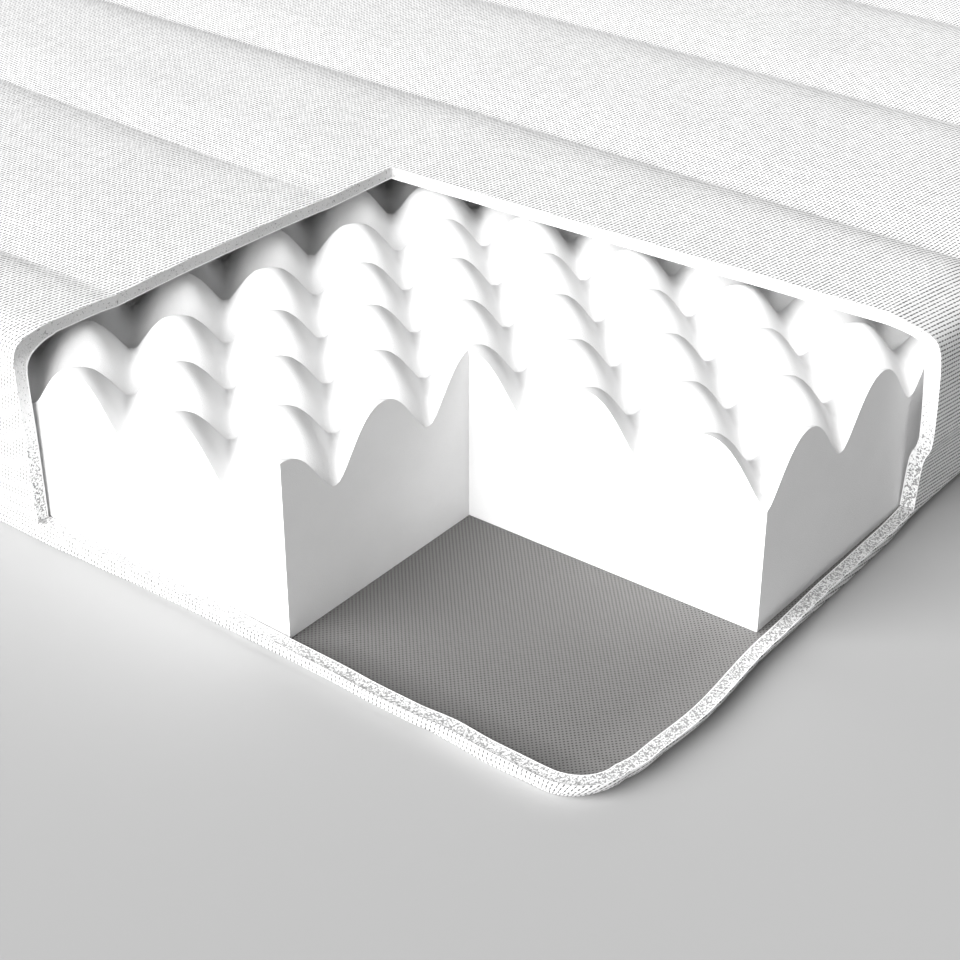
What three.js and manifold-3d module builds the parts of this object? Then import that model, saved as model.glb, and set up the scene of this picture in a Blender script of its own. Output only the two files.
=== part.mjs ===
import * as THREE from 'three';
import { mergeVertices } from 'three/addons/utils/BufferGeometryUtils.js';
import Module from 'manifold-3d';

const wasm = await Module();
wasm.setup();

// A foam mattress lying flat, with one corner of its cover and core cut away.
// Millimetres, +Z up. X runs along the length, Y across the width, and the floor is at z = 0.
// The opened corner is at low X and low Y. Places along the mattress are measured from the
// foam's corner there, and heights from the floor.

// Whole mattress
const LENGTH = 2000;
const WIDTH = 1400;
const HEIGHT = 150;

// How far the cover reaches past the foam's faces
const END_REACH = 14;
const SIDE_REACH = 18.5;
const RIM_REACH = 22.2;

// Cover
const TOP_THICKNESS = 9;
const BASE_THICKNESS = 8.7;
const RIM_HEIGHT = 12;
const RIM_WIDTH = 10.6;
const RIM_UNDERCUT = 6.5;
const CORNER_RADIUS = 22;
const CORNER_STEPS = 5;

// Clearances between pieces
const SEAT_GAP = 0.3;
const SIDE_GAP = 0.6;

// Foam core: a square lattice of bumps, with one more bump in the middle of each square
const PITCH = 88;
const PEAK_HEIGHT = 134;
const BUMP_DEPTH = 38;
const DOME_POWER = 2.3;
const PIT_POWER = 1.42;
// How square the domes are in plan, and how sharp their valleys and pits are, up to 1
const DOME_SQUARENESS = 3;
const VALLEY_SHARPNESS = 0.97;
const PIT_SHARPNESS = 0.99;
const BUMP_PHASE_X = 2.6;
const BUMP_PHASE_Y = 218;
const STEPS_PER_PITCH = 8;
const BUMP_ROOM = 20;
// The bumps are cut over these stretches of the block, in pitches from its corner
const BUMPS_X = { from: -0.1, to: 5.4 };
const BUMPS_Y = { from: -0.15, to: 6.35 };

// Notch through the foam
const NOTCH_X_INSIDE = 175;
const NOTCH_X_OUTSIDE = 181;
const NOTCH_Y = 219.5;

// Window in the cover: where its two cuts cross the foam's faces, and where they meet
const WINDOW_X = 357;
const WINDOW_Y = 432;
const WINDOW_CORNER_X = 332;
const WINDOW_CORNER_Y = 416;

// Creases across the top: place at the middle of the width, lean from side to side, and depth
const CREASES = [
  { at: 72, lean: 2, depth: 4.4 },
  { at: 274, lean: 10, depth: 3.6 },
  { at: 456, lean: -4, depth: 4.7 },
  { at: 657, lean: -8, depth: 4.4 },
  { at: 860, lean: 6, depth: 4.2 },
  { at: 1063, lean: -6, depth: 4.6 },
  { at: 1256, lean: 4, depth: 3.9 },
  { at: 1462, lean: 9, depth: 4.5 },
  { at: 1655, lean: -7, depth: 4.1 },
  { at: 1868, lean: 3, depth: 4.4 },
];
// Shares of the way from one crease to the next where the panel between them is drawn
const PANEL_STEPS = [0.12, 0.35, 0.62, 0.85];
const PANEL_CROWN = 0.35;
// The creases fade out towards the window's cuts
const WINDOW_FADE = 160;
const WINDOW_HOLD = 0.35;
// Strips that the top is drawn in across its width
const TOP_ROWS = 10;

// The cover's outer face, from the shoulder down: reach past the foam and height, at an end and
// at a long side. Creases fade out down the wall as hold falls to 0.
const OUTER_ROWS = [
  { endOut: -8, endZ: 149.6, sideOut: -11, sideZ: 147.6, hold: 1 },
  { endOut: 6.4, endZ: 146.2, sideOut: 7.5, sideZ: 142.4, hold: 0.9 },
  { endOut: 12.5, endZ: 140.2, sideOut: 14.8, sideZ: 134, hold: 0.6 },
  { endOut: 14, endZ: 128, sideOut: 17.4, sideZ: 116, hold: 0.25 },
  { endOut: 13.5, endZ: 98, sideOut: 18.5, sideZ: 80, hold: 0 },
  { endOut: 13.1, endZ: 68, sideOut: 17.7, sideZ: 61, hold: 0 },
  { endOut: 12.7, endZ: 38, sideOut: 13.4, sideZ: 48.5, hold: 0 },
  { endOut: 11.2, endZ: 12.3, sideOut: 11.2, sideZ: 12.3, hold: 0 },
];
// The cover's inner face
const INNER_ROWS = [
  { endOut: -11, endZ: 140.4, sideOut: -11, sideZ: 139.4, hold: 1 },
  { endOut: 1.4, endZ: 136, sideOut: 1, sideZ: 136.6, hold: 0.2 },
  { endOut: 3.8, endZ: 122, sideOut: 6.2, sideZ: 116, hold: 0.1 },
  { endOut: 3.6, endZ: 90, sideOut: 8.3, sideZ: 76, hold: 0 },
  { endOut: 3.1, endZ: 66, sideOut: 7.5, sideZ: 62, hold: 0 },
  { endOut: 2.3, endZ: 38, sideOut: 3.2, sideZ: 49.5, hold: 0 },
  { endOut: 0.9, endZ: 0, sideOut: 0.9, sideZ: 0, hold: 0 },
];

// The rim of the base swells outward in the window, where nothing holds it: at its top and foot.
// Places run along the long side and along the end.
const SIDE_SWELL = [
  { at: 0, top: 0, foot: 0 },
  { at: 40, top: 8.5, foot: 5.5 },
  { at: 90, top: 11, foot: 7 },
  { at: 175, top: 5.5, foot: 6 },
  { at: 260, top: 3.2, foot: 5.5 },
  { at: 320, top: 2.4, foot: 4.2 },
  { at: 375, top: 0, foot: 0 },
];

const END_SWELL = [
  { at: 0, top: 0.5, foot: 0 },
  { at: 28, top: 2, foot: -0.5 },
  { at: 60, top: 2.2, foot: 0.6 },
  { at: 88, top: 0.6, foot: -1.2 },
  { at: 116, top: 2.6, foot: -2.4 },
  { at: 142, top: 2.8, foot: -1.2 },
  { at: 180, top: 1.6, foot: -1.8 },
  { at: 225, top: 1.4, foot: -2 },
  { at: 290, top: 0, foot: -1.6 },
  { at: 335, top: 0, foot: -0.6 },
  { at: 380, top: 0, foot: 1.4 },
  { at: 425, top: 0, foot: 3.4 },
];

// Places along each rim where its swell is drawn, and where its plain stretch begins
const SIDE_PLACES = [60, 90, 130, 175, 215, 260, 290, 320, 345, 375];
const END_PLACES = [42, 60, 74, 88, 102, 116, 142, 161, 180, 225, 258, 290, 335, 380, 425];
const RIM_PLAIN_FROM = 700;

// The long walls bow out most where the window is cut and less further on
const BOW_LENGTH = 640;
const BOW_SHARE = 0.16;

// Worked out from the sizes above
const foamHalfX = LENGTH / 2 - END_REACH;
const foamHalfY = (WIDTH - SIDE_REACH - RIM_REACH) / 2;
const shiftY = (RIM_REACH - SIDE_REACH) / 2;
const spineHalfX = foamHalfX - CORNER_RADIUS;
const spineHalfY = foamHalfY - CORNER_RADIUS;
const foamFloor = BASE_THICKNESS + SEAT_GAP;

const fromCorner = (x, y) => [x - foamHalfX, y - foamHalfY];

function ease(share) {
  const t = Math.min(1, Math.max(0, share));
  return t * t * (3 - 2 * t);
}

function between(low, high, share) {
  return low + (high - low) * share;
}

// Reads one column of a table whose rows are sorted by at, smoothly between rows
function readTable(table, column, at) {
  if (at <= table[0].at) return table[0][column];
  const k = table.findIndex((row) => row.at >= at);
  if (k < 0) return table[table.length - 1][column];
  const low = table[k - 1];
  const high = table[k];
  return between(low[column], high[column], ease((at - low.at) / (high.at - low.at)));
}

// A crease's place along X at a place across the width
function creaseX(crease, y) {
  return crease.at - foamHalfX + crease.lean * Math.sin((1.5 * y) / spineHalfY);
}

// How much of each crease is left near the window's cuts
function windowHold(x, y) {
  const pastX = Math.max(0, x + foamHalfX - WINDOW_CORNER_X);
  const pastY = Math.max(0, y + foamHalfY - WINDOW_CORNER_Y);
  return between(WINDOW_HOLD, 1, ease(Math.hypot(pastX, pastY) / WINDOW_FADE));
}

// How far the top lies below its crown: sharp at each crease, with a short rise after it and a
// long gentle fall to the next one
function creaseDrop(x, y) {
  const places = CREASES.map((crease) => creaseX(crease, y));
  const last = CREASES.length - 1;
  const hold = windowHold(x, y);
  if (x <= places[0]) {
    return hold * CREASES[0].depth * ease((x + foamHalfX) / (places[0] + foamHalfX));
  }
  if (x >= places[last]) {
    return hold * CREASES[last].depth * (1 - ease((x - places[last]) / (foamHalfX - places[last])));
  }
  const k = places.findIndex((place) => place > x) - 1;
  const share = (x - places[k]) / (places[k + 1] - places[k]);
  if (share < PANEL_CROWN) {
    return hold * CREASES[k].depth * (1 - Math.sin((Math.PI / 2) * (share / PANEL_CROWN)));
  }
  return hold * CREASES[k + 1].depth * ((share - PANEL_CROWN) / (1 - PANEL_CROWN)) ** 2;
}

// Lines across the top, each a function of the place across the width
function topLines() {
  const first = CREASES[0];
  const last = CREASES[CREASES.length - 1];
  const lines = [() => -spineHalfX, (y) => between(-spineHalfX, creaseX(first, y), 0.5)];
  CREASES.slice(0, -1).forEach((crease, k) => {
    const next = CREASES[k + 1];
    [0, ...PANEL_STEPS].forEach((share) => {
      lines.push((y) => between(creaseX(crease, y), creaseX(next, y), share));
    });
  });
  lines.push((y) => creaseX(last, y));
  lines.push((y) => between(creaseX(last, y), spineHalfX, 0.5));
  lines.push(() => spineHalfX);
  return lines;
}

function evenSteps(low, high, count) {
  return Array.from({ length: count + 1 }, (_, k) => between(low, high, k / count));
}

function solidFrom(vertices, triangles) {
  const mesh = new wasm.Mesh({
    numProp: 3,
    vertProperties: new Float32Array(vertices.flat()),
    triVerts: new Uint32Array(triangles.flat()),
  });
  return new wasm.Manifold(mesh);
}

function solidFromGeometry(geometry) {
  const bare = geometry.clone();
  bare.deleteAttribute('normal');
  bare.deleteAttribute('uv');
  const merged = mergeVertices(bare, 1e-4);
  const mesh = new wasm.Mesh({
    numProp: 3,
    vertProperties: new Float32Array(merged.attributes.position.array),
    triVerts: new Uint32Array(merged.index.array),
  });
  return new wasm.Manifold(mesh);
}

function geometryFrom(solid) {
  const mesh = solid.getMesh();
  const geometry = new THREE.BufferGeometry();
  geometry.setAttribute('position', new THREE.BufferAttribute(new Float32Array(mesh.vertProperties), 3));
  geometry.setIndex(new THREE.BufferAttribute(new Uint32Array(mesh.triVerts), 1));
  geometry.computeVertexNormals();
  return geometry;
}

// A pad with rounded corners: a grid over the middle, then rings that run round it, and a flat
// underside. topZ gives the grid's height, and each ring its reach past the foam and its height.
// The edge goes round the grid anticlockwise, and turns about each corner point of the grid.
function padSolid(lines, rows, topZ, rings) {
  const vertices = [];
  const triangles = [];
  const lastI = lines.length - 1;
  const lastJ = rows.length - 1;
  const grid = (i, j) => i * rows.length + j;
  lines.forEach((line) => rows.forEach((y) => vertices.push([line(y), y, topZ(line(y), y)])));
  for (let i = 0; i < lastI; i += 1) {
    for (let j = 0; j < lastJ; j += 1) {
      triangles.push([grid(i, j), grid(i + 1, j), grid(i + 1, j + 1)]);
      triangles.push([grid(i, j), grid(i + 1, j + 1), grid(i, j + 1)]);
    }
  }
  const quarter = Math.PI / 2;
  const upX = lines.map((_, i) => i);
  const upY = rows.map((_, j) => j);
  const turn = (i, j, start) =>
    evenSteps(start, start + quarter, CORNER_STEPS)
      .slice(1, -1)
      .map((angle) => ({ i, j, angle }));
  const edge = [
    ...upX.map((i) => ({ i, j: 0, angle: -quarter })),
    ...turn(lastI, 0, -quarter),
    ...upY.map((j) => ({ i: lastI, j, angle: 0 })),
    ...turn(lastI, lastJ, 0),
    ...upX.toReversed().map((i) => ({ i, j: lastJ, angle: quarter })),
    ...turn(0, lastJ, quarter),
    ...upY.toReversed().map((j) => ({ i: 0, j, angle: 2 * quarter })),
    ...turn(0, 0, 2 * quarter),
  ];
  let inner = edge.map(({ i, j }) => grid(i, j));
  rings.forEach((ring) => {
    const outer = edge.map(({ i, j, angle }) => {
      const [x, y] = vertices[grid(i, j)];
      const [outX, outY] = [Math.cos(angle), Math.sin(angle)];
      const { out, z } = ring(x, y, outX, outY);
      const reach = CORNER_RADIUS + out;
      vertices.push([x + outX * reach, y + outY * reach, z]);
      return vertices.length - 1;
    });
    edge.forEach((_, k) => {
      const next = (k + 1) % edge.length;
      triangles.push([inner[k], outer[k], outer[next]]);
      if (inner[k] !== inner[next]) triangles.push([inner[k], outer[next], inner[next]]);
    });
    inner = outer;
  });
  const underside = vertices[inner[0]][2];
  vertices.push([0, 0, underside]);
  const middle = vertices.length - 1;
  inner.forEach((_, k) => triangles.push([inner[(k + 1) % inner.length], inner[k], middle]));
  return solidFrom(vertices, triangles);
}

// A ring of the cover's wall, blended from its end row to its long side row round each corner
function wallRing(row) {
  return (x, y, outX, outY) => {
    const side = outY * outY;
    const place = x + foamHalfX - WINDOW_X;
    const bow = 1 - BOW_SHARE * (1 - Math.cos((2 * Math.PI * place) / BOW_LENGTH));
    const bulge = Math.max(0, row.sideOut - row.endOut);
    return {
      out: between(row.endOut, row.sideOut - bulge * (1 - bow), side),
      z: between(row.endZ, row.sideZ, side) - row.hold * creaseDrop(x, y),
    };
  };
}

// The prism of the cover that is cut away at the corner, which runs well past the outer faces
function windowSolid() {
  const past = 4 * SIDE_REACH;
  const shareX = (WINDOW_X - WINDOW_CORNER_X) / WINDOW_CORNER_Y;
  const shareY = (WINDOW_Y - WINDOW_CORNER_Y) / WINDOW_CORNER_X;
  const outline = new THREE.Shape([
    new THREE.Vector2(...fromCorner(-past, -past)),
    new THREE.Vector2(...fromCorner(WINDOW_X + shareX * past, -past)),
    new THREE.Vector2(...fromCorner(WINDOW_CORNER_X, WINDOW_CORNER_Y)),
    new THREE.Vector2(...fromCorner(-past, WINDOW_Y + shareY * past)),
  ]);
  const prism = new THREE.ExtrudeGeometry(outline, { depth: HEIGHT * 2, bevelEnabled: false });
  prism.translate(0, 0, -HEIGHT / 2);
  return solidFromGeometry(prism);
}

function coverTop() {
  const outer = padSolid(
    topLines(),
    evenSteps(-spineHalfY, spineHalfY, TOP_ROWS),
    (x, y) => HEIGHT - creaseDrop(x, y),
    OUTER_ROWS.map(wallRing),
  );
  const inner = padSolid(
    topLines(),
    evenSteps(-spineHalfY, spineHalfY, TOP_ROWS / 2),
    (x, y) => HEIGHT - TOP_THICKNESS - creaseDrop(x, y),
    INNER_ROWS.map(wallRing),
  );
  return geometryFrom(outer.subtract(inner).subtract(windowSolid()));
}

// A ring of the base. Swell is the column of the tables that push it outward in the window.
function baseRing({ endOut, sideOut, z, swell }) {
  return (x, y, outX, outY) => {
    const atEnd = outX < 0 ? readTable(END_SWELL, swell, y + foamHalfY) : 0;
    const atSide = outY < 0 ? readTable(SIDE_SWELL, swell, x + foamHalfX) : 0;
    return { out: between(endOut + atEnd, sideOut + atSide, outY * outY), z };
  };
}

function coverBase() {
  const outside = SIDE_GAP + RIM_WIDTH;
  const rings = [
    { endOut: SIDE_GAP, sideOut: SIDE_GAP, z: BASE_THICKNESS, swell: 'top' },
    { endOut: SIDE_GAP, sideOut: SIDE_GAP, z: RIM_HEIGHT, swell: 'top' },
    { endOut: outside, sideOut: outside, z: RIM_HEIGHT, swell: 'top' },
    { endOut: outside, sideOut: outside - RIM_UNDERCUT / 3, z: RIM_HEIGHT / 2, swell: 'top' },
    { endOut: outside - 1, sideOut: outside - RIM_UNDERCUT, z: 0, swell: 'foot' },
  ];
  const nearX = SIDE_PLACES.map((x) => x - foamHalfX);
  const nearY = END_PLACES.map((y) => y - foamHalfY);
  const places = [-spineHalfX, ...nearX, ...evenSteps(RIM_PLAIN_FROM - foamHalfX, spineHalfX, 3)];
  const lines = places.map((x) => () => x);
  const rows = [-spineHalfY, ...nearY, ...evenSteps(RIM_PLAIN_FROM - foamHalfY, spineHalfY, 2)];
  return geometryFrom(padSolid(lines, rows, () => BASE_THICKNESS, rings.map(baseRing)));
}

// How far along its way from a dome to the valley a place is, in one diagonal direction. Wave is
// the lattice's wave in that direction and across the wave in the other.
function valleyShare(wave, across) {
  const sharpness = between(VALLEY_SHARPNESS, PIT_SHARPNESS, across * across);
  return Math.asin(sharpness * wave) / Math.asin(sharpness);
}

// The foam's height at a place: rounded domes with lower saddles between them and deeper pits
function foamHeight(x, y) {
  const turnX = (Math.PI / PITCH) * (x + foamHalfX - BUMP_PHASE_X);
  const turnY = (Math.PI / PITCH) * (y + foamHalfY - BUMP_PHASE_Y);
  const waveA = Math.abs(Math.sin(turnX + turnY));
  const waveB = Math.abs(Math.sin(turnX - turnY));
  const shareA = valleyShare(waveA, waveB) ** DOME_SQUARENESS;
  const shareB = valleyShare(waveB, waveA) ** DOME_SQUARENESS;
  const away = Math.min(1, ((shareA + shareB) / 2) ** (1 / DOME_SQUARENESS));
  return PEAK_HEIGHT - BUMP_DEPTH * (1 - (1 - away ** DOME_POWER) ** PIT_POWER);
}

// The space above the bumps, cut out of the block
function bumpSpace() {
  const step = PITCH / STEPS_PER_PITCH;
  const firstStep = (from, phase) => phase + step * Math.floor((from * PITCH - phase) / step);
  const [startX, startY] = fromCorner(
    firstStep(BUMPS_X.from, BUMP_PHASE_X),
    firstStep(BUMPS_Y.from, BUMP_PHASE_Y),
  );
  const countX = Math.round((BUMPS_X.to - BUMPS_X.from) * STEPS_PER_PITCH);
  const countY = Math.round((BUMPS_Y.to - BUMPS_Y.from) * STEPS_PER_PITCH);
  const lid = PEAK_HEIGHT + BUMP_ROOM;
  const vertices = [];
  const triangles = [];
  const low = (i, j) => 2 * (i * (countY + 1) + j);
  const high = (i, j) => low(i, j) + 1;
  for (let i = 0; i <= countX; i += 1) {
    for (let j = 0; j <= countY; j += 1) {
      const [x, y] = [startX + i * step, startY + j * step];
      vertices.push([x, y, foamHeight(x, y)], [x, y, lid]);
    }
  }
  const quad = (a, b, c, d) => triangles.push([a, b, c], [a, c, d]);
  for (let i = 0; i < countX; i += 1) {
    for (let j = 0; j < countY; j += 1) {
      const [a, b, c, d] = [low(i, j), low(i, j + 1), low(i + 1, j + 1), low(i + 1, j)];
      const flatter = Math.abs(vertices[a][2] - vertices[c][2]) < Math.abs(vertices[b][2] - vertices[d][2]);
      if (flatter) quad(a, b, c, d);
      else quad(b, c, d, a);
      quad(high(i, j), high(i + 1, j), high(i + 1, j + 1), high(i, j + 1));
    }
  }
  for (let i = 0; i < countX; i += 1) {
    quad(low(i, 0), low(i + 1, 0), high(i + 1, 0), high(i, 0));
    quad(low(i + 1, countY), low(i, countY), high(i, countY), high(i + 1, countY));
  }
  for (let j = 0; j < countY; j += 1) {
    quad(low(0, j + 1), low(0, j), high(0, j), high(0, j + 1));
    quad(low(countX, j), low(countX, j + 1), high(countX, j + 1), high(countX, j));
  }
  return solidFrom(vertices, triangles);
}

function foamCore() {
  const r = CORNER_RADIUS;
  const outline = new THREE.Shape();
  outline.moveTo(...fromCorner(NOTCH_X_OUTSIDE, 0));
  outline.lineTo(foamHalfX - r, -foamHalfY);
  outline.absarc(foamHalfX - r, r - foamHalfY, r, -Math.PI / 2, 0, false);
  outline.lineTo(foamHalfX, foamHalfY - r);
  outline.absarc(foamHalfX - r, foamHalfY - r, r, 0, Math.PI / 2, false);
  outline.lineTo(r - foamHalfX, foamHalfY);
  outline.absarc(r - foamHalfX, foamHalfY - r, r, Math.PI / 2, Math.PI, false);
  outline.lineTo(...fromCorner(0, NOTCH_Y));
  outline.lineTo(...fromCorner(NOTCH_X_INSIDE, NOTCH_Y));
  outline.closePath();
  const block = new THREE.ExtrudeGeometry(outline, {
    depth: PEAK_HEIGHT - foamFloor,
    bevelEnabled: false,
    curveSegments: CORNER_STEPS,
  });
  block.translate(0, 0, foamFloor);
  return geometryFrom(solidFromGeometry(block).subtract(bumpSpace()));
}

function piece(name, geometry, color, roughness) {
  const mesh = new THREE.Mesh(geometry, new THREE.MeshStandardMaterial({ color, roughness, metalness: 0 }));
  mesh.name = name;
  mesh.position.y = shiftY;
  return mesh;
}

const mattress = new THREE.Group();
mattress.add(piece('cover_base', coverBase(), 0xd6d6d4, 0.9));
mattress.add(piece('foam_core', foamCore(), 0xf6f6f4, 0.85));
mattress.add(piece('cover_top', coverTop(), 0xf1f1f0, 0.9));

export default mattress;
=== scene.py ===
import math

import bpy
import numpy as np
from mathutils import Matrix, Vector


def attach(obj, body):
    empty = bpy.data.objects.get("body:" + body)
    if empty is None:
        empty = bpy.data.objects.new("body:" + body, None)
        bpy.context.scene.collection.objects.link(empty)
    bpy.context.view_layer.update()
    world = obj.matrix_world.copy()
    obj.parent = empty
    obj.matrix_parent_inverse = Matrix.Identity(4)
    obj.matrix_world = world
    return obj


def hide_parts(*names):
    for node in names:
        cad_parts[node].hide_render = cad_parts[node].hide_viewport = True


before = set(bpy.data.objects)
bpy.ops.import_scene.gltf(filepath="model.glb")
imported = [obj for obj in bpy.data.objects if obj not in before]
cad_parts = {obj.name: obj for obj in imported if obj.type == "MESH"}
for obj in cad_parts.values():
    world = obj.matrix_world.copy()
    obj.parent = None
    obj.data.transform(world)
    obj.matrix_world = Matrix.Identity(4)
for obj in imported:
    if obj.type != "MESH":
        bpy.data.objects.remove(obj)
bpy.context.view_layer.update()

# A foam mattress with one corner of its cover and core cut away.
# Shapes are worked out in millimetres from the foam's corner at the cut, X along the length,
# Y across the width and heights from the floor. The finished meshes are in metres.
MM = 0.001

# Whole mattress, and how far the cover reaches past the foam's faces
LENGTH = 2000
WIDTH = 1400
HEIGHT = 150
END_REACH = 14
SIDE_REACH = 18.5
RIM_REACH = 22.2
FOAM_LENGTH = LENGTH - 2 * END_REACH
FOAM_WIDTH = WIDTH - SIDE_REACH - RIM_REACH
# From the foam's corner to the middle of the mattress, where the frame has its origin
FRAME_SHIFT = np.array([-FOAM_LENGTH / 2, (RIM_REACH - SIDE_REACH - FOAM_WIDTH) / 2, 0])

# Cover, whose flat middle ends this far inside the foam's faces
CORNER_RADIUS = 22
CORNER_STEPS = 10
NEAR = CORNER_RADIUS
FAR_X = FOAM_LENGTH - CORNER_RADIUS
FAR_Y = FOAM_WIDTH - CORNER_RADIUS
TOP_THICKNESS = 9
BASE_THICKNESS = 8.7
WALL_FOOT = 12.3
SEAT_GAP = 0.3
OUTER_UNEVENNESS = 0.8
INNER_UNEVENNESS = 0.5
CLOTH_CRISP_ANGLE = 50

# Rim of the base: reach of its inner and outer face past the foam, and its sunken top between
RIM_HEIGHT = 12
RIM_UNDERCUT = 6.5
RIM_INSIDE = 0.6
RIM_OUTSIDE = RIM_INSIDE + 10.6
RIM_TOP_INSIDE = RIM_INSIDE + 0.5
RIM_TOP_OUTSIDE = RIM_OUTSIDE - 0.6
RIM_TOP_SHARES = (0.15, 0.32, 0.5, 0.68, 0.85)
RIM_TOP_SINK = 0.35
RIM_TOP_WAVE = 40

# Foam
PITCH = 88
PEAK_HEIGHT = 134
BUMP_DEPTH = 38
DOME_POWER = 2.3
PIT_POWER = 1.42
DOME_SQUARENESS = 3
VALLEY_SHARPNESS = 0.97
PIT_SHARPNESS = 0.99
BUMP_PHASE_X = 2.6
BUMP_PHASE_Y = 218
NOTCH_X_INSIDE = 175
NOTCH_X_OUTSIDE = 181
NOTCH_Y = 219.5
# The grid leans with the notch's slanting face, this far beside it and past its end
NOTCH_BLEND = 14
NOTCH_FADE = 40
FOAM_FLOOR = BASE_THICKNESS + SEAT_GAP
# Under the cover the foam's top is pressed down towards its faces
PRESSED_HEIGHT = 131
PRESSED_SLOPE = 0.75
# Lines of the foam's mesh in a pitch, and how far along X and Y they are that close
LINES_IN_PITCH = 24
FOAM_FINE_X = 460
FOAM_FINE_Y = 560
# Further lines and the least distance between lines, in such steps, and a rounding error
COARSE_STEP = 2.5
LEAST_STEP = 0.4
ROUNDING = 0.01
FOAM_WALL_STEPS = 6
FOAM_CRISP_ANGLE = 35

# Window in the cover
WINDOW_X = 357
WINDOW_Y = 432
WINDOW_CORNER_X = 332
WINDOW_CORNER_Y = 416
SLOPE_X = (WINDOW_CORNER_X - WINDOW_X) / WINDOW_CORNER_Y
SLOPE_Y = (WINDOW_CORNER_Y - WINDOW_Y) / WINDOW_CORNER_X
# The cuts down the walls keep the slant of those in the top, and lines this near lean with them
LEAN_FADE = 80
# Points on a straight edge face outward by more than this share, and those on a corner by less
STRAIGHT = 0.99

# Cut faces: the shares of the way across that have points, and their uneven hollow
CUT_SHARES = (0.04, 0.1, 0.22, 0.36, 0.5, 0.64, 0.78, 0.9, 0.96)
CUT_HOLLOW = 0.7
CUT_SQUARENESS = 8
CUT_UNEVENNESS = 0.45
CUT_WAVE_ACROSS = 1.7
CUT_WAVE_ALONG = 0.9

# Creases across the top: place at the middle of the width, lean from side to side, depth
CREASES = [
    (72, 2, 4.4),
    (274, 10, 3.6),
    (456, -4, 4.7),
    (657, -8, 4.4),
    (860, 6, 4.2),
    (1063, -6, 4.6),
    (1256, 4, 3.9),
    (1462, 9, 4.5),
    (1655, -7, 4.1),
    (1868, 3, 4.4),
]
CREASE_BEND = 1.5
CREASE_POWER = 7
PANEL_CROWN = 0.4
# The creases fade out towards the window's cuts
WINDOW_FADE = 160
WINDOW_HOLD = 0.35

# Lines of the cover's meshes in each gap between two control lines
EDGE_LINES = 8
CUT_PANEL_LINES = (34, 18, 22)
PANEL_LINES = 16
TOP_LINES_Y = (56, 44)
BASE_SPLIT_X = 400
BASE_SPLIT_Y = 450
BASE_LINES_X = (76, 24)
BASE_LINES_Y = (86, 16)
CROWDING = 0.75
START_CROWDING = 1.6
GRID_ROUNDS = 6

# The cover's faces from the shoulder down: reach and height at an end, the same at a long side,
# and how much of each crease is left
OUTER_ROWS = [
    (-22, 150, -22, 150, 1),
    (-8, 149.6, -11, 147.6, 1),
    (6.4, 146.2, 7.5, 142.4, 0.9),
    (12.5, 140.2, 14.8, 134, 0.6),
    (14, 128, 17.4, 116, 0.25),
    (13.5, 98, 18.5, 80, 0),
    (13.1, 68, 17.7, 61, 0),
    (12.7, 38, 13.4, 48.5, 0),
    (11.2, WALL_FOOT, 11.2, WALL_FOOT, 0),
]
INNER_ROWS = [
    (-22, 140.6, -22, 141, 1),
    (-12, 138.9, -11, 139.6, 0.9),
    (-3, 134.9, 0, 136.4, 0.4),
    (1.8, 130.4, 4, 129, 0.2),
    (4.4, 122, 6.2, 116, 0.1),
    (3.9, 98, 8.3, 76, 0),
    (3.1, 70, 7.5, 62, 0),
    (2.6, 38, 3.2, 49.5, 0),
    (2.4, WALL_FOOT, 0.9, WALL_FOOT, 0),
]
RING_STEPS = 3
# The long walls' swell eases and comes back at this length, by up to twice this share
BOW_LENGTH = 640
BOW_SHARE = 0.16

# The rim of the base swells outward in the window: place along the long side, swell at its top
# and at its foot, and then the same along the end
SIDE_SWELL = [
    (0, 0, 0),
    (40, 8.5, 5.5),
    (90, 11, 7),
    (175, 5.5, 6),
    (260, 3.2, 5.5),
    (320, 2.4, 4.2),
    (375, 0, 0),
]
END_SWELL = [
    (0, 0.5, 0),
    (28, 2, -0.5),
    (60, 2.2, 0.6),
    (88, 0.6, -1.2),
    (116, 2.6, -2.4),
    (142, 2.8, -1.2),
    (180, 1.6, -1.8),
    (225, 1.4, -2),
    (290, 0, -1.6),
    (335, 0, -0.6),
    (380, 0, 1.4),
    (425, 0, 3.4),
]
SWELL_AT_TOP = 1
SWELL_AT_FOOT = 2

# Waves of uneven cloth: share of the turns along X and along Y, size, and start in radians
RIPPLE_LENGTH = 170
RIPPLES = [
    (0.83, 0.31, 1, 0.7),
    (-0.42, 0.77, 0.61, 2.1),
    (0.22, -0.91, 1.43, 4.4),
]

# Waves of the two knits: weight, turns in a millimetre along X, and along Y
TOP_WAVES = [
    (1.0, 0.048, 0.332),
    (0.3, 0.321, 0.008),
    (0.12, 0.186, -0.172),
]
PANEL_WAVES = [
    (0.5, 0.293, -0.327),
    (1.2, 0.293, 0.327),
    (0.3, 0.586, 0.0),
    (0.3, 0.0, 0.654),
]

# Camera from the foam's corner: turn and downward tilt in radians, place and lens in millimetres
CAMERA_TURN = 0.6669
CAMERA_DOWN = 0.5626
CAMERA_PLACE = (-752.7, -519.9, 784.3)
CAMERA_LENS = 80.24

# Stage: a pale floor, a strong broad key light from the open end and a dim even fill
FLOOR_HALF = 9
KEY_FROM = (-0.87, 0.22, 0.44)
KEY_STRENGTH = 7.6
KEY_SOFTNESS = 70
FILL_STRENGTH = 0.17


# Small shape helpers

def ease(share):
    t = np.clip(share, 0, 1)
    return t * t * (3 - 2 * t)


def between(low, high, share):
    return low + (high - low) * share


def ripple(x, y):
    """A smooth uneven wave between 0 and 1, for cloth that isn't quite flat."""
    turn = 2 * math.pi / RIPPLE_LENGTH
    waves = [
        np.sin(turn * (along_x * x + along_y * y) / size + start)
        for along_x, along_y, size, start in RIPPLES
    ]
    return 0.5 + 0.5 * sum(waves) / len(waves)


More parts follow.
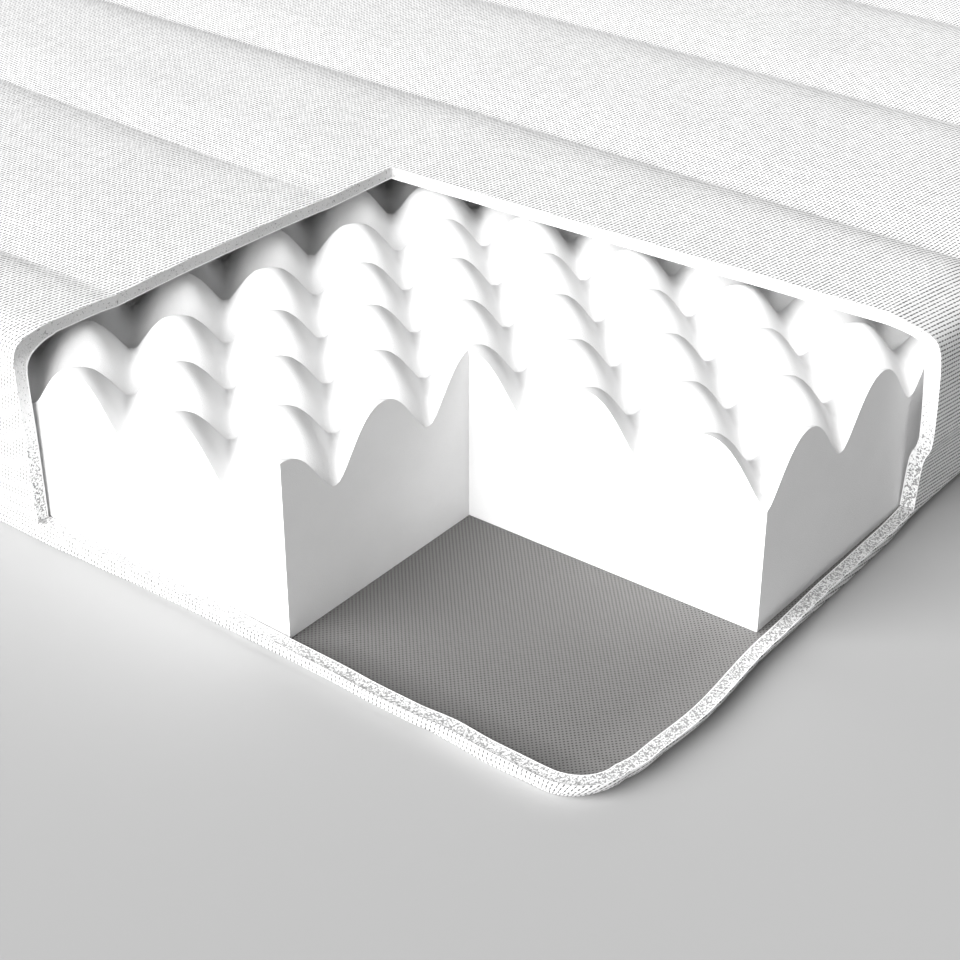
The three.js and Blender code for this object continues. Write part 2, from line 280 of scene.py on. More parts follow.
def smooth_rows(rows, steps):
    """Points of a smooth curve through the rows of a table, with this many steps in each gap."""
    table = np.array(rows, float)
    padded = np.vstack([2 * table[0] - table[1], table, 2 * table[-1] - table[-2]])
    found = []
    for k in range(len(table) - 1):
        a, b, c, d = padded[k:k + 4]
        for t in np.arange(steps) / steps:
            square = (2 * a - 5 * b + 4 * c - d) * t * t
            cube = (3 * b - a - 3 * c + d) * t ** 3
            found.append(0.5 * (2 * b + (c - a) * t + square + cube))
    found.append(table[-1])
    return np.array(found)


def read_table(table, column, at):
    """One column of a table sorted by its first column, smoothly between rows."""
    places = np.array([row[0] for row in table], float)
    values = np.array([row[column] for row in table], float)
    at = np.clip(at, places[0], places[-1])
    k = np.clip(np.searchsorted(places, at) - 1, 0, len(places) - 2)
    share = ease((at - places[k]) / (places[k + 1] - places[k]))
    return between(values[k], values[k + 1], share)


# Window and creases of the top

def window_line_x(y):
    return WINDOW_X + SLOPE_X * np.minimum(y, WINDOW_CORNER_Y)


def window_line_y(x):
    return WINDOW_Y + SLOPE_Y * np.minimum(x, WINDOW_CORNER_X)


def crease_x(crease, y):
    at, lean, _ = crease
    half = FOAM_WIDTH / 2 - CORNER_RADIUS
    return at + lean * np.sin(CREASE_BEND * (y - FOAM_WIDTH / 2) / half)


def window_hold(x, y):
    """How much of each crease is left near the window's cuts."""
    past = np.hypot(np.maximum(x - WINDOW_CORNER_X, 0), np.maximum(y - WINDOW_CORNER_Y, 0))
    return between(WINDOW_HOLD, 1, ease(past / WINDOW_FADE))


def crease_drop(x, y):
    """How far the top lies below its crown at a place."""
    places = np.array([crease_x(crease, y) for crease in CREASES])
    depths = [depth for _, _, depth in CREASES]
    drop = depths[0] * np.clip(x / places[0], 0, 1) ** CREASE_POWER
    for k in range(len(CREASES) - 1):
        share = (x - places[k]) / (places[k + 1] - places[k])
        rise = depths[k] * (1 - np.sin(math.pi / 2 * np.clip(share / PANEL_CROWN, 0, 1)))
        falling = np.clip(share - PANEL_CROWN, 0, 1) / (1 - PANEL_CROWN)
        fall = depths[k + 1] * falling ** CREASE_POWER
        drop = np.where(share > 0, np.where(share < PANEL_CROWN, rise, fall), drop)
    last = 1 - ease((x - places[-1]) / (FOAM_LENGTH - places[-1]))
    return window_hold(x, y) * np.where(x > places[-1], depths[-1] * last, drop)


# Grids whose lines follow control lines

def constant(value):
    """A straight control line."""
    return lambda other: value + 0 * other


def even(count):
    """Even shares of a gap between two control lines."""
    return np.arange(count) / count


def crowded(count):
    """Shares of a gap that crowd towards both of its ends."""
    t = even(count)
    return between(t, 0.5 - 0.5 * np.cos(math.pi * t), CROWDING)


def crowded_start(count):
    return even(count) ** START_CROWDING


def place_lines(controls, shares, other):
    """Lines at the given shares of each gap. Controls are functions of the other coordinate."""
    rows = []
    for k, gap in enumerate(shares):
        for share in gap:
            at = other[len(rows)]
            rows.append(between(controls[k](at), controls[k + 1](at), share))
    rows.append(controls[-1](other[len(rows)]))
    return np.array(rows)


def warped_grid(controls_x, shares_x, controls_y, shares_y):
    """Places of the grid's points: two arrays with a row for each line across X."""
    count_x = sum(len(gap) for gap in shares_x) + 1
    count_y = sum(len(gap) for gap in shares_y) + 1
    y = np.zeros((count_x, count_y))
    for _ in range(GRID_ROUNDS):
        x = place_lines(controls_x, shares_x, y)
        y = place_lines(controls_y, shares_y, x.T).T
    return x, y


def grid_faces(count_x, count_y, cut_i, cut_j):
    """Faces of a grid, without those that lie before both of the lines cut_i and cut_j."""
    faces = []
    for i in range(count_x - 1):
        for j in range(count_y - 1):
            if i >= cut_i or j >= cut_j:
                a = i * count_y + j
                faces.append([a, a + count_y, a + count_y + 1, a + 1])
    return faces


# Meshes

def open_edges(faces):
    """The edges that only one face has, each in its face's direction."""
    found = {}
    for face in faces:
        for a, b in zip(face, face[1:] + face[:1]):
            if found.pop((b, a), None) is None:
                found[(a, b)] = True
    return list(found)


def edge_loop(edges):
    """One closed loop of points from edges that follow each other."""
    after = dict(edges)
    start = edges[0][0]
    loop = [start]
    while after[loop[-1]] != start:
        loop.append(after[loop[-1]])
    return loop


def make_piece(name, points, faces, slots, cloth, layer, materials, crisp_angle):
    """A mesh object from points in millimetres. Points that no face uses are left out."""
    used = sorted({k for face in faces for k in face})
    number = {old: new for new, old in enumerate(used)}
    places = (np.array(points)[used] + FRAME_SHIFT) * MM
    mesh = bpy.data.meshes.new(name)
    mesh.from_pydata(places.tolist(), [], [[number[k] for k in face] for face in faces])
    for material in materials:
        mesh.materials.append(material)
    mesh.polygons.foreach_set("material_index", slots)
    mesh.polygons.foreach_set("use_smooth", [True] * len(faces))
    mesh.set_sharp_from_angle(angle=math.radians(crisp_angle))
    weave = mesh.attributes.new("cloth", "FLOAT_VECTOR", "POINT")
    flat = np.zeros((len(used), 3))
    flat[:, :2] = np.array(cloth)[used] * MM
    weave.data.foreach_set("vector", flat.ravel())
    depth = mesh.attributes.new("layer", "FLOAT", "POINT")
    depth.data.foreach_set("value", np.array(layer)[used])
    mesh.update()
    piece = bpy.data.objects.new(name, mesh)
    bpy.context.scene.collection.objects.link(piece)
    return piece


# Skins of the cover's cloth

def edge_walk(count_x, count_y, cut_i, cut_j):
    """Points round the grid's edge, anticlockwise: grid place, angle outward, and cut away."""
    last_i = count_x - 1
    last_j = count_y - 1
    walk = []

    def turn(i, j, start, gone):
        for k in range(1, CORNER_STEPS):
            walk.append((i, j, start + math.pi / 2 * k / CORNER_STEPS, gone))

    walk += [(i, 0, -math.pi / 2, i < cut_i) for i in range(count_x)]
    turn(last_i, 0, -math.pi / 2, False)
    walk += [(last_i, j, 0, False) for j in range(count_y)]
    turn(last_i, last_j, 0, False)
    walk += [(i, last_j, math.pi / 2, False) for i in range(last_i, -1, -1)]
    turn(0, last_j, math.pi / 2, False)
    walk += [(0, j, math.pi, j < cut_j) for j in range(last_j, -1, -1)]
    turn(0, 0, math.pi, cut_i > 0)
    return walk


def ring_faces(inner, outer, gone):
    faces = []
    for k in range(len(outer)):
        after = (k + 1) % len(outer)
        if gone[k] or gone[after]:
            continue
        faces.append([inner[k], outer[k], outer[after]])
        if inner[k] != inner[after]:
            faces[-1].append(inner[after])
    return faces


class Skin:
    """One face of a cloth: a grid of points with rings of points round its edge. Each point
    has its place on the flat cloth too."""

    def __init__(self, x, y, z, cut_i, cut_j):
        count_x, count_y = x.shape
        place = np.stack([x, y, z], -1)
        walk = edge_walk(count_x, count_y, cut_i, cut_j)
        self.points = list(place.reshape(-1, 3))
        self.cloth = [point[:2] for point in self.points]
        self.faces = grid_faces(count_x, count_y, cut_i, cut_j)
        self.start = np.array([place[i, j] for i, j, _, _ in walk])
        self.outward = np.array([(math.cos(angle), math.sin(angle)) for _, _, angle, _ in walk])
        self.side = self.outward[:, 1] ** 2
        self.gone = [lost for _, _, _, lost in walk]
        self.edge = [i * count_y + j for i, j, _, _ in walk]
        self.last = self.start
        self.length = np.zeros(len(walk))

    def add_ring(self, reach, z, lean=0):
        """A ring this far outside the grid's edge, joined to the one before it. Returns the
        number of new faces."""
        ring = np.zeros_like(self.start)
        ring[:, :2] = self.start[:, :2] + self.outward * reach[:, None] + lean
        ring[:, 2] = z
        self.length += np.linalg.norm(ring - self.last, axis=1)
        self.last = ring
        outer = list(range(len(self.points), len(self.points) + len(ring)))
        self.points += list(ring)
        self.cloth += list(self.start[:, :2] + self.outward * self.length[:, None])
        faces = ring_faces(self.edge, outer, self.gone)
        self.faces += faces
        self.edge = outer
        return len(faces)


# Cover: a grid over the top with rings that run round it and down the walls

def top_grid():
    """The grid's places, and the numbers of the two lines along the window's cuts."""
    follow = [lambda y, crease=crease: crease_x(crease, y) for crease in CREASES]
    controls_x = [constant(NEAR), *follow[:2], window_line_x, *follow[2:], constant(FAR_X)]
    shares_x = [even(EDGE_LINES)]
    shares_x += [crowded(count) for count in CUT_PANEL_LINES]
    shares_x += [crowded(PANEL_LINES)] * (len(CREASES) - len(CUT_PANEL_LINES))
    shares_x += [even(EDGE_LINES)]
    controls_y = [constant(NEAR), window_line_y, constant(FAR_Y)]
    shares_y = [even(TOP_LINES_Y[0]), crowded_start(TOP_LINES_Y[1])]
    x, y = warped_grid(controls_x, shares_x, controls_y, shares_y)
    cut_i = sum(len(gap) for gap in shares_x[:3])
    cut_j = len(shares_y[0])
    return x, y, cut_i, cut_j


def cover_skin(grid, rows, top_height, unevenness):
    x, y, cut_i, cut_j = grid
    z = top_height - crease_drop(x, y) - unevenness * ripple(x, y)
    skin = Skin(x, y, z, cut_i, cut_j)
    start_x = skin.start[:, 0]
    start_y = skin.start[:, 1]
    drop = crease_drop(start_x, start_y)
    rough = ripple(start_x, start_y)
    bow = 1 - BOW_SHARE * (1 - np.cos(2 * math.pi * (start_x - WINDOW_X) / BOW_LENGTH))
    near_x = np.clip(1 - np.abs(start_x - WINDOW_X) / LEAN_FADE, 0, 1)
    near_y = np.clip(1 - np.abs(start_y - WINDOW_Y) / LEAN_FADE, 0, 1)
    on_side = skin.outward[:, 1] < -STRAIGHT
    on_end = skin.outward[:, 0] < -STRAIGHT
    lean = -np.stack([SLOPE_X * near_x * on_side, SLOPE_Y * near_y * on_end], -1)
    for end_out, end_z, side_out, side_z, hold in smooth_rows(rows, RING_STEPS)[1:]:
        bulge = max(0, side_out - end_out) * (1 - bow)
        reach = CORNER_RADIUS + between(end_out, side_out - bulge, skin.side)
        z = between(end_z, side_z, skin.side) - hold * drop - hold * unevenness * rough
        skin.add_ring(reach, z, lean * reach[:, None])
    return skin


def close_cut(points, cloth, layer, outer_faces, offset, foot):
    """Faces that join the two skins along their open edges, slightly hollow but at the foot, and
    for each of them whether it is a cut. An inner point's number is its outer twin's + offset."""
    edges = open_edges(outer_faces)
    place = np.array(points)
    facing = {}
    for a, b in edges:
        normal = np.cross(place[a] - place[b], place[a + offset] - place[a])
        if a in foot and b in foot:
            normal = normal * 0
        for k in (a, b):
            facing[k] = facing.get(k, 0) + normal
    chains = {}
    for k, normal in facing.items():
        size = np.linalg.norm(normal)
        normal = normal / size if size > 0 else normal
        chains[k] = [k]
        for n, share in enumerate(CUT_SHARES):
            wave = math.sin(CUT_WAVE_ACROSS * n + CUT_WAVE_ALONG * place[k].sum())
            sink = CUT_HOLLOW * (1 - abs(2 * share - 1) ** CUT_SQUARENESS)
            sink *= 1 + CUT_UNEVENNESS * wave
            chains[k].append(len(points))
            points.append(between(place[k], place[k + offset], share) - normal * sink)
            cloth.append(cloth[k])
            layer.append(share)
        chains[k].append(k + offset)
    faces = []
    is_cut = []
    for a, b in edges:
        for n in range(len(CUT_SHARES) + 1):
            faces.append([chains[b][n], chains[a][n], chains[a][n + 1], chains[b][n + 1]])
            is_cut.append(not (a in foot and b in foot))
    return faces, is_cut


def cover_top(knit_material, edge_material):
    grid = top_grid()
    outer = cover_skin(grid, OUTER_ROWS, HEIGHT, OUTER_UNEVENNESS)
    inner = cover_skin(grid, INNER_ROWS, HEIGHT - TOP_THICKNESS, INNER_UNEVENNESS)
    offset = len(outer.points)
    points = outer.points + inner.points
    cloth = outer.cloth + inner.cloth
    layer = [0.0] * offset + [1.0] * offset
    inner_faces = [[k + offset for k in reversed(face)] for face in outer.faces]
    cut_faces, is_cut = close_cut(points, cloth, layer, outer.faces, offset, set(outer.edge))
    faces = outer.faces + inner_faces + cut_faces
    slots = [0] * (2 * len(outer.faces)) + [int(flag) for flag in is_cut]
    materials = [knit_material, edge_material]
    return make_piece(
        "cover_top_cloth", points, faces, slots, cloth, layer, materials, CLOTH_CRISP_ANGLE)


# Base of the cover: a flat panel whose edge turns up into a low rim

def base_rows():
    """Rings from the panel's edge outward: reach at an end, at a side, height, swell column and
    material slot."""
    rows = [
        (0, 0, BASE_THICKNESS, SWELL_AT_TOP, 0),
        (RIM_INSIDE, RIM_INSIDE, BASE_THICKNESS + 0.7, SWELL_AT_TOP, 0),
        (RIM_INSIDE, RIM_INSIDE, RIM_HEIGHT - 0.6, SWELL_AT_TOP, 0),
        (RIM_TOP_INSIDE, RIM_TOP_INSIDE, RIM_HEIGHT, SWELL_AT_TOP, 1),
    ]
    for share in RIM_TOP_SHARES:
        sink = RIM_TOP_SINK * (1 + math.sin(RIM_TOP_WAVE * share))
        reach = between(RIM_TOP_INSIDE, RIM_TOP_OUTSIDE, share)
        rows.append((reach, reach, RIM_HEIGHT - sink, SWELL_AT_TOP, 1))
    end = RIM_OUTSIDE
    side = RIM_OUTSIDE
    rows += [
        (RIM_TOP_OUTSIDE, RIM_TOP_OUTSIDE, RIM_HEIGHT, SWELL_AT_TOP, 1),
        (end, side - 0.2, RIM_HEIGHT - 0.9, SWELL_AT_TOP, 2),
        (end + 0.1, side - 0.9, RIM_HEIGHT * 0.7, SWELL_AT_TOP, 2),
        (end, side - RIM_UNDERCUT * 0.4, RIM_HEIGHT * 0.45, SWELL_AT_TOP, 2),
        (end - 0.4, side - RIM_UNDERCUT * 0.7, RIM_HEIGHT * 0.22, SWELL_AT_FOOT, 2),
        (end - 1, side - RIM_UNDERCUT * 0.9, 0.7, SWELL_AT_FOOT, 2),
        (end - 1.8, side - RIM_UNDERCUT - 0.8, 0, SWELL_AT_FOOT, 2),
    ]
    return rows


def cover_base(panel_material, edge_material, knit_material):
    controls_x = [constant(NEAR), constant(BASE_SPLIT_X), constant(FAR_X)]
    controls_y = [constant(NEAR), constant(BASE_SPLIT_Y), constant(FAR_Y)]
    shares_x = [even(count) for count in BASE_LINES_X]
    shares_y = [even(count) for count in BASE_LINES_Y]
    x, y = warped_grid(controls_x, shares_x, controls_y, shares_y)
    skin = Skin(x, y, np.full(x.shape, BASE_THICKNESS), 0, 0)
    layer = [1.0] * len(skin.points)
    slots = [0] * len(skin.faces)
    on_side = skin.outward[:, 1] < 0
    on_end = skin.outward[:, 0] < 0
    for end_out, side_out, z, column, slot in base_rows():
        at_side = read_table(SIDE_SWELL, column, skin.start[:, 0]) * on_side
        at_end = read_table(END_SWELL, column, skin.start[:, 1]) * on_end
        reach = CORNER_RADIUS + between(end_out + at_end, side_out + at_side, skin.side)
        slots += [slot] * skin.add_ring(reach, z)
        share = (RIM_TOP_OUTSIDE - end_out) / (RIM_TOP_OUTSIDE - RIM_TOP_INSIDE)
        layer += [float(np.clip(share, 0, 1))] * len(skin.edge)
    faces = skin.faces + [list(reversed(skin.edge))]
    slots.append(2)
    materials = [panel_material, edge_material, knit_material]
    return make_piece(
        "cover_base_cloth", skin.points, faces, slots, skin.cloth, layer, materials,
        CLOTH_CRISP_ANGLE)


# Foam: rounded domes with lower saddles and deeper pits, over an upright block with a notch

def valley_share(wave, across):
    """How far a place is on its way from a dome to the valley, in one diagonal direction."""
    sharpness = between(VALLEY_SHARPNESS, PIT_SHARPNESS, across ** 2)
    return np.arcsin(sharpness * wave) / np.arcsin(sharpness)


def foam_height(x, y):
    turn_x = math.pi * (x - BUMP_PHASE_X) / PITCH
    turn_y = math.pi * (y - BUMP_PHASE_Y) / PITCH
    wave_a = np.abs(np.sin(turn_x + turn_y))
    wave_b = np.abs(np.sin(turn_x - turn_y))
    share_a = valley_share(wave_a, wave_b) ** DOME_SQUARENESS
    share_b = valley_share(wave_b, wave_a) ** DOME_SQUARENESS
    away = np.minimum(1, ((share_a + share_b) / 2) ** (1 / DOME_SQUARENESS))
    height = PEAK_HEIGHT - BUMP_DEPTH * (1 - (1 - away ** DOME_POWER) ** PIT_POWER)
    inside = np.minimum(np.minimum(x, FOAM_LENGTH - x), np.minimum(y, FOAM_WIDTH - y))
    pressed = np.minimum(height, PRESSED_HEIGHT + PRESSED_SLOPE * inside)
    covered = (x > window_line_x(y)) | (y > window_line_y(x))
    return np.where(covered, pressed, height)


def foam_lines(phase, reach, fine_to, notch):
    """Places of lines, one of them at the notch. Up to fine_to they meet every peak and pit,
    and under the cover they are two or two and a half such steps apart."""
    places = [0.0, float(notch), float(reach)]
    step = PITCH / LINES_IN_PITCH
    at = phase + step * math.ceil(-phase / step)
    while at < reach:
        if min(abs(at - place) for place in places) > LEAST_STEP * step:
            places.append(at)
        if at < fine_to:
            at += step
        else:
            at += COARSE_STEP * step - (at - phase + ROUNDING) % (step / 2)
    return sorted(places)


def foam_grid():
    """Places of the foam's top, and the numbers of the two lines along the notch."""
    middle = (NOTCH_X_INSIDE + NOTCH_X_OUTSIDE) / 2
    lines = foam_lines(BUMP_PHASE_X, FOAM_LENGTH, FOAM_FINE_X, middle)
    rows = foam_lines(BUMP_PHASE_Y % PITCH - PITCH, FOAM_WIDTH, FOAM_FINE_Y, NOTCH_Y)
    x, y = np.meshgrid(lines, rows, indexing="ij")
    slant = between(NOTCH_X_OUTSIDE, NOTCH_X_INSIDE, np.clip(y / NOTCH_Y, 0, 1)) - middle
    slant *= np.clip(1 - (y - NOTCH_Y) / NOTCH_FADE, 0, 1)
    x = x + slant * np.clip(1 - np.abs(x - middle) / NOTCH_BLEND, 0, 1)
    return np.stack([x, y, foam_height(x, y)], -1), lines.index(middle), rows.index(NOTCH_Y)


def round_corners(place):
    """Draws the three whole corners in, from square to round."""
    x = place[..., 0].copy()
    y = place[..., 1].copy()
    for corner_x, corner_y in ((1, -1), (1, 1), (-1, 1)):
        middle_x = FOAM_LENGTH / 2 + corner_x * (FOAM_LENGTH / 2 - CORNER_RADIUS)
        middle_y = FOAM_WIDTH / 2 + corner_y * (FOAM_WIDTH / 2 - CORNER_RADIUS)
        away_x = np.maximum(corner_x * (x - middle_x), 0)
        away_y = np.maximum(corner_y * (y - middle_y), 0)
        both = (away_x > 0) & (away_y > 0)
        diagonal = np.where(both, np.hypot(away_x, away_y), 1)
        scale = np.maximum(away_x, away_y) / diagonal
        place[..., 0] = np.where(both, middle_x + corner_x * away_x * scale, place[..., 0])
        place[..., 1] = np.where(both, middle_y + corner_y * away_y * scale, place[..., 1])


def foam_core(foam):
    place, cut_i, cut_j = foam_grid()
    round_corners(place)
    points = list(place.reshape(-1, 3))
    faces = []
    for a, b, c, d in grid_faces(*place.shape[:2], cut_i, cut_j):
        if abs(points[a][2] - points[c][2]) < abs(points[b][2] - points[d][2]):
            faces += [[a, b, c], [a, c, d]]
        else:
            faces += [[a, b, d], [b, c, d]]
    edges = open_edges(faces)
    chains = {}
    for k in {k for edge in edges for k in edge}:
        top_x, top_y, top_z = points[k]
        chains[k] = [k]
        for n in range(1, FOAM_WALL_STEPS + 1):
            chains[k].append(len(points))
            z = between(top_z, FOAM_FLOOR, n / FOAM_WALL_STEPS)
            points.append(np.array([top_x, top_y, z]))
    for a, b in edges:
        for n in range(FOAM_WALL_STEPS):
            faces.append([chains[b][n], chains[a][n], chains[a][n + 1], chains[b][n + 1]])
    faces.append([chains[k][-1] for k in reversed(edge_loop(edges))])
    cloth = [point[:2] for point in points]
    slots = [0] * len(faces)
    layer = [0.0] * len(points)
    return make_piece(
        "foam_core_block", points, faces, slots, cloth, layer, [foam], FOAM_CRISP_ANGLE)


# Materials

class Shader:
    """A material's node tree, with short ways to add its nodes."""

    def __init__(self, name, roughness, specular):
        self.material = bpy.data.materials.new(name)
        self.material.use_nodes = True
        self.tree = self.material.node_tree
        self.surface = self.tree.nodes["Principled BSDF"]
        self.surface.inputs["Roughness"].default_value = roughness
        self.surface.inputs["Specular IOR Level"].default_value = specular

    def plug(self, socket, value):
        if isinstance(value, bpy.types.NodeSocket):
            self.tree.links.new(value, socket)
        elif value is not None:
            socket.default_value = value

    def math(self, operation, a, b=None, c=None):
        node = self.tree.nodes.new("ShaderNodeMath")
        node.operation = operation
        for socket, value in zip(node.inputs, (a, b, c)):
            self.plug(socket, value)
        return node.outputs[0]

    def scaled(self, vector, factor):
        node = self.tree.nodes.new("ShaderNodeVectorMath")
        node.operation = "SCALE"
        self.plug(node.inputs[0], vector)
        self.plug(node.inputs["Scale"], factor)
        return node.outputs["Vector"]

    def parts(self, vector):
        node = self.tree.nodes.new("ShaderNodeSeparateXYZ")
        self.plug(node.inputs["Vector"], vector)
        return node.outputs["X"], node.outputs["Y"], node.outputs["Z"]

    def attribute(self, name, output):
        node = self.tree.nodes.new("ShaderNodeAttribute")
        node.attribute_name = name
        return node.outputs[output]

    def object_place(self):
        return self.tree.nodes.new("ShaderNodeTexCoord").outputs["Object"]

    def noise(self, place, size, detail, roughness=0.5):
        node = self.tree.nodes.new("ShaderNodeTexNoise")
        self.plug(node.inputs["Vector"], place)
        node.inputs["Scale"].default_value = 1 / size
        node.inputs["Detail"].default_value = detail
        node.inputs["Roughness"].default_value = roughness
        return node.outputs["Fac"]

    def cells(self, place, size):
        node = self.tree.nodes.new("ShaderNodeTexVoronoi")
        self.plug(node.inputs["Vector"], place)
        node.inputs["Scale"].default_value = 1 / size
        return node.outputs["Distance"]

    def spread(self, value, low, high, to_low=0.0, to_high=1.0):
        """Maps low to to_low and high to to_high, with a soft start and end."""
        node = self.tree.nodes.new("ShaderNodeMapRange")
        node.interpolation_type = "SMOOTHSTEP"
        for socket, part in zip(node.inputs, (value, low, high, to_low, to_high)):
            self.plug(socket, part)
        return node.outputs["Result"]

    def mix(self, share, low, high):
        node = self.tree.nodes.new("ShaderNodeMix")
        node.data_type = "RGBA"
        self.plug(node.inputs["Factor"], share)
        low_socket, high_socket = [s for s in node.inputs if s.type == "RGBA"]
        self.plug(low_socket, low)
        self.plug(high_socket, high)
        return next(s for s in node.outputs if s.type == "RGBA")

    def bump(self, height, depth, strength):
        node = self.tree.nodes.new("ShaderNodeBump")
        node.inputs["Strength"].default_value = strength
        node.inputs["Distance"].default_value = depth
        self.plug(node.inputs["Height"], height)
        return node.outputs["Normal"]

    def finish(self, color, normal=None):
        self.plug(self.surface.inputs["Base Color"], color)
        self.plug(self.surface.inputs["Normal"], normal)
        return self.material


def grey(value, warm=0.0):
    return (value + warm, value, value - warm, 1)


def net(shader, place, waves):
    """A net of holes as a sum of waves: 1 in the middle of each hole. A wave has a weight and
    its number of turns in a millimetre of cloth, along X and along Y."""
    u, v, _ = shader.parts(shader.scaled(place, 2 * math.pi / MM))
    whole = sum(weight for weight, _, _ in waves)
    total = 0.0
    for weight, turns_u, turns_v in waves:
        phase = shader.math("MULTIPLY_ADD", u, turns_u, shader.math("MULTIPLY", v, turns_v))
        wave = shader.math("COSINE", phase)
        total = shader.math("MULTIPLY_ADD", wave, weight / whole, total)
    return total


def knit(name, waves, thread, yarn, hole, relief, warm=0.0):
    """A knit with rows of small holes between its yarns, of these greys. The thread is the
    size, in metres, that its fibres and its stray holes go by."""
    shader = Shader(name, roughness=0.9, specular=0.15)
    shader.surface.inputs["Sheen Weight"].default_value = 0.1
    shader.surface.inputs["Sheen Roughness"].default_value = 0.5
    place = shader.attribute("cloth", "Vector")
    stray = shader.noise(place, size=1.5 * thread, detail=3.0)
    holes = shader.math("MULTIPLY_ADD", stray, 0.5, net(shader, place, waves))
    shade = shader.spread(holes, low=0.47, high=0.97)
    fibre = shader.noise(place, size=0.12 * thread, detail=2.0, roughness=0.7)
    worn = shader.spread(shader.noise(place, size=0.09, detail=4.0, roughness=0.6), 0.3, 0.7)
    tone = shader.mix(worn, grey(yarn, warm), grey(0.96 * yarn, warm))
    tone = shader.mix(shader.math("MULTIPLY", fibre, 0.12), tone, grey(0.7 * yarn, warm))
    color = shader.mix(shade, tone, grey(hole, warm))
    height = shader.math("SUBTRACT", shader.math("MULTIPLY", fibre, 0.25), shade)
    return shader.finish(color, shader.bump(height, depth=relief, strength=0.7))


def cut_edge(name, tones, skin, fibre_shadow_share, fibre_size):
    """The cut through padded cloth: loose fibres between two knit skins. The tones are those of
    the filling in the walls and in the top, and of the dark specks, which are painted shadows
    between the loose fibres."""
    low_tone, high_tone, fibre_shadow_tone = tones
    shader = Shader(name, roughness=0.95, specular=0.15)
    place = shader.object_place()
    layer = shader.attribute("layer", "Fac")
    _, _, height = shader.parts(place)
    fibre = shader.noise(place, fibre_size, detail=2.0, roughness=0.6)
    tuft = shader.cells(place, 1.3 * fibre_size)
    over_top = shader.spread(height, low=0.128, high=0.138)
    filling = shader.mix(over_top, grey(low_tone), grey(high_tone))
    # The dark specks are painted shadows between the loose fibres, and there are more of them
    # towards the foot.
    shadow_threshold_by_height = shader.spread(height, low=0.1, high=0.03, to_low=0.62, to_high=0.5)
    threshold = shader.math("ADD", shadow_threshold_by_height, 0.5 - fibre_shadow_share)
    fibre_shadow = shader.spread(shader.math("SUBTRACT", fibre, threshold), low=0.0, high=0.05)
    filling = shader.mix(fibre_shadow, filling, grey(fibre_shadow_tone))
    from_middle = shader.math("ABSOLUTE", shader.math("SUBTRACT", layer, 0.5))
    color = shader.mix(shader.spread(from_middle, low=0.41, high=0.46), filling, grey(skin))
    relief = shader.math("MULTIPLY_ADD", tuft, 0.5, fibre)
    return shader.finish(color, shader.bump(relief, depth=0.0006, strength=0.7))


def foam_material():
    shader = Shader("foam_white", roughness=0.85, specular=0.25)
    place = shader.object_place()
    cell = shader.cells(place, size=0.0007)
    broad = shader.spread(shader.noise(place, size=0.05, detail=3.0), 0.3, 0.7)
    color = shader.mix(broad, grey(0.9), grey(0.93))
    color = shader.mix(shader.spread(cell, 0.1, 0.5, to_high=0.08), color, grey(0.7))
    return shader.finish(color, shader.bump(cell, depth=0.00025, strength=0.35))


def floor_material():
    shader = Shader("studio_floor", roughness=0.9, specular=0.1)
    tone = shader.noise(shader.object_place(), size=1.4, detail=2.0)
    return shader.finish(shader.mix(shader.spread(tone, 0.3, 0.7), grey(0.43), grey(0.455)))


# Camera and stage

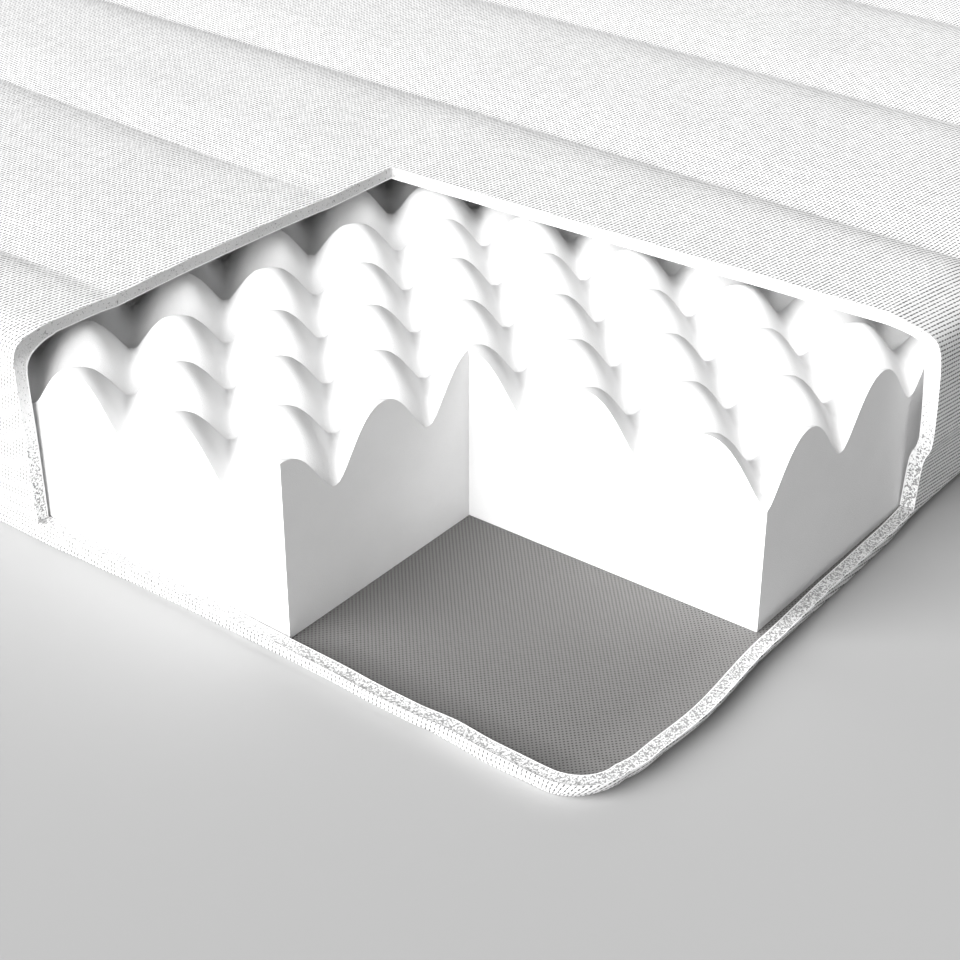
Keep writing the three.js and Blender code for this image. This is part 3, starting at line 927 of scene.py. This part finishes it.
def place_camera():
    data = bpy.data.cameras.new("view")
    data.sensor_width = 36
    data.lens = CAMERA_LENS
    data.clip_start = 0.05
    data.clip_end = 30
    camera = bpy.data.objects.new("view", data)
    bpy.context.scene.collection.objects.link(camera)
    level = math.cos(CAMERA_DOWN)
    ahead = Vector((
        math.cos(CAMERA_TURN) * level, math.sin(CAMERA_TURN) * level, -math.sin(CAMERA_DOWN)))
    right = ahead.cross(Vector((0, 0, 1))).normalized()
    up = right.cross(ahead)
    matrix = Matrix((right, up, -ahead)).transposed().to_4x4()
    matrix.translation = Vector((np.array(CAMERA_PLACE) + FRAME_SHIFT) * MM)
    camera.matrix_world = matrix
    bpy.context.scene.camera = camera


def add_floor():
    corners = [(-1, -1), (1, -1), (1, 1), (-1, 1)]
    mesh = bpy.data.meshes.new("floor")
    mesh.from_pydata([(x * FLOOR_HALF, y * FLOOR_HALF, 0) for x, y in corners], [], [(0, 1, 2, 3)])
    mesh.materials.append(floor_material())
    floor = bpy.data.objects.new("floor", mesh)
    bpy.context.scene.collection.objects.link(floor)


def add_light():
    key = bpy.data.lights.new("key", "SUN")
    key.energy = KEY_STRENGTH
    key.angle = math.radians(KEY_SOFTNESS)
    lamp = bpy.data.objects.new("key", key)
    bpy.context.scene.collection.objects.link(lamp)
    lamp.rotation_euler = Vector(KEY_FROM).to_track_quat("Z", "Y").to_euler()
    world = bpy.data.worlds.new("room")
    world.use_nodes = True
    fill = world.node_tree.nodes["Background"]
    fill.inputs["Color"].default_value = (1, 1, 1, 1)
    fill.inputs["Strength"].default_value = FILL_STRENGTH
    bpy.context.scene.world = world
    bpy.context.scene.view_settings.view_transform = "Standard"


place_camera()
white_knit = knit("cover_white_knit", TOP_WAVES, thread=0.006, yarn=0.92, hole=0.14, relief=0.0004)
panel_knit = knit(
    "base_grey_knit", PANEL_WAVES, thread=0.003, yarn=0.205, hole=0.03, relief=0.0002, warm=0.003)
# The third tone and the share of each cut edge set its dark specks, which are painted shadows
# between fibres.
edge_top = cut_edge(
    "cover_cut_edge", tones=(0.9, 0.66, 0.3), skin=0.95, fibre_shadow_share=0.5, fibre_size=0.0014)
edge_rim = cut_edge(
    "rim_cut_edge", tones=(0.85, 0.85, 0.35), skin=0.95, fibre_shadow_share=0.52, fibre_size=0.0012)

top = cover_top(white_knit, edge_top)
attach(top, "root")
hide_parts("cover_top")

base = cover_base(panel_knit, edge_rim, white_knit)
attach(base, "root")
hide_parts("cover_base")

core = foam_core(foam_material())
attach(core, "root")
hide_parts("foam_core")

add_floor()
add_light()
